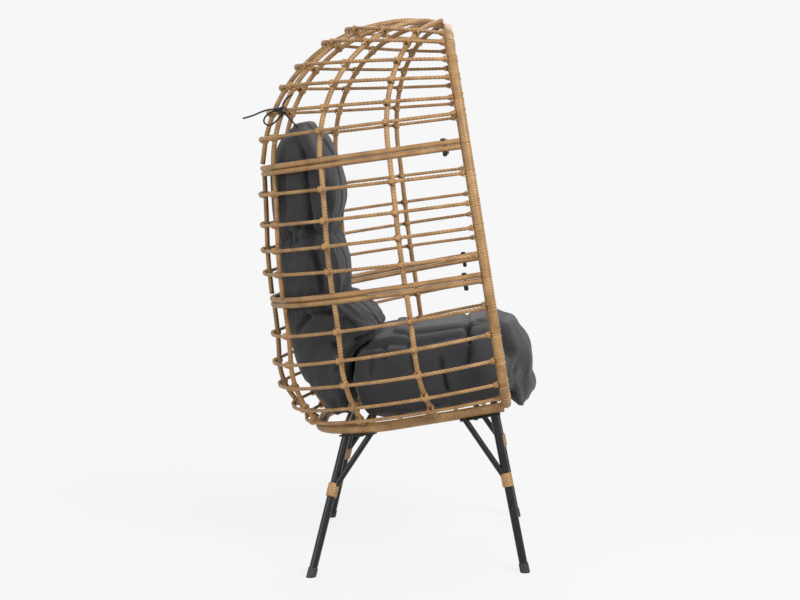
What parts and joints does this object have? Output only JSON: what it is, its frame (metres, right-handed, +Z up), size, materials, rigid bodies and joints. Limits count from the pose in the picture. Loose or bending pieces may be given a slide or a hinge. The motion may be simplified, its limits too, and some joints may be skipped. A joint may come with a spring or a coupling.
{
  "type": "egg-shaped garden armchair",
  "caption": "High-backed egg-shaped garden armchair: open rattan lattice hood and basket on slender splayed metal legs, with a thick tufted cushion.",
  "frame": {"origin": "on the floor, under the middle of the chair's box without the loose tie ends", "axes": "+Z up, -Y the way the sitter faces, +X to the sitter's left"},
  "size_m": [0.827, 0.7796, 1.4812],
  "materials": {
    "rattan": "tan synthetic rattan strand wound tightly round steel tube",
    "leg_binding": "lighter tan synthetic rattan strand bound round leg and brace",
    "legs": "black satin powder coat on steel tube",
    "fittings": "black coated steel",
    "feet": "black moulded plastic",
    "cushion": "charcoal woven polyester over fibre filling",
    "tie": "black woven tape"
  },
  "bodies": {
    "root": {"back_cushion": "cushion", "base_tube": "rattan", "basket_hoop_1": "rattan", "basket_hoop_2": "rattan", "basket_hoop_3": "rattan", "basket_hoop_4": "rattan", "basket_hoop_5": "rattan", "basket_rib_back": "rattan", "basket_ribs_corner": "rattan", "basket_ribs_front": "rattan", "basket_ribs_side": "rattan", "basket_rim": "rattan", "basket_ring": "rattan", "brace_front_left": "legs", "brace_front_right": "legs", "brace_rear_left": "legs", "brace_rear_right": "legs", "canopy_hoop_1": "rattan", "canopy_hoop_2": "rattan", "canopy_hoop_3": "rattan", "canopy_hoop_4": "rattan", "canopy_hoop_5": "rattan", "canopy_hoop_6": "rattan", "canopy_rib_back": "rattan", "canopy_ribs_corner": "rattan", "canopy_ribs_front": "rattan", "canopy_ribs_side": "rattan", "canopy_rim": "rattan", "canopy_ring": "rattan", "foot_caps": "feet", "leg_bolts": "fittings", "leg_front_left": "legs", "leg_front_right": "legs", "leg_plates": "fittings", "leg_rear_left": "legs", "leg_rear_right": "legs", "leg_wraps": "leg_binding", "middle_hoop_1": "rattan", "middle_hoop_2": "rattan", "middle_hoop_3": "rattan", "middle_hoop_4": "rattan", "middle_rib_back": "rattan", "middle_ribs_corner": "rattan", "middle_ribs_front": "rattan", "middle_ribs_side": "rattan", "middle_rim_left": "rattan", "middle_rim_right": "rattan", "middle_ring_lower": "rattan", "middle_ring_upper": "rattan", "ring_bolts": "fittings", "ring_nuts": "fittings", "seat_bars": "rattan", "seat_cushion": "cushion", "tie_anchor": "tie", "tie_knot": "tie", "tie_loop": "tie", "tie_tail_back": "tie", "tie_tail_front": "tie"}
  },
  "joints": []
}
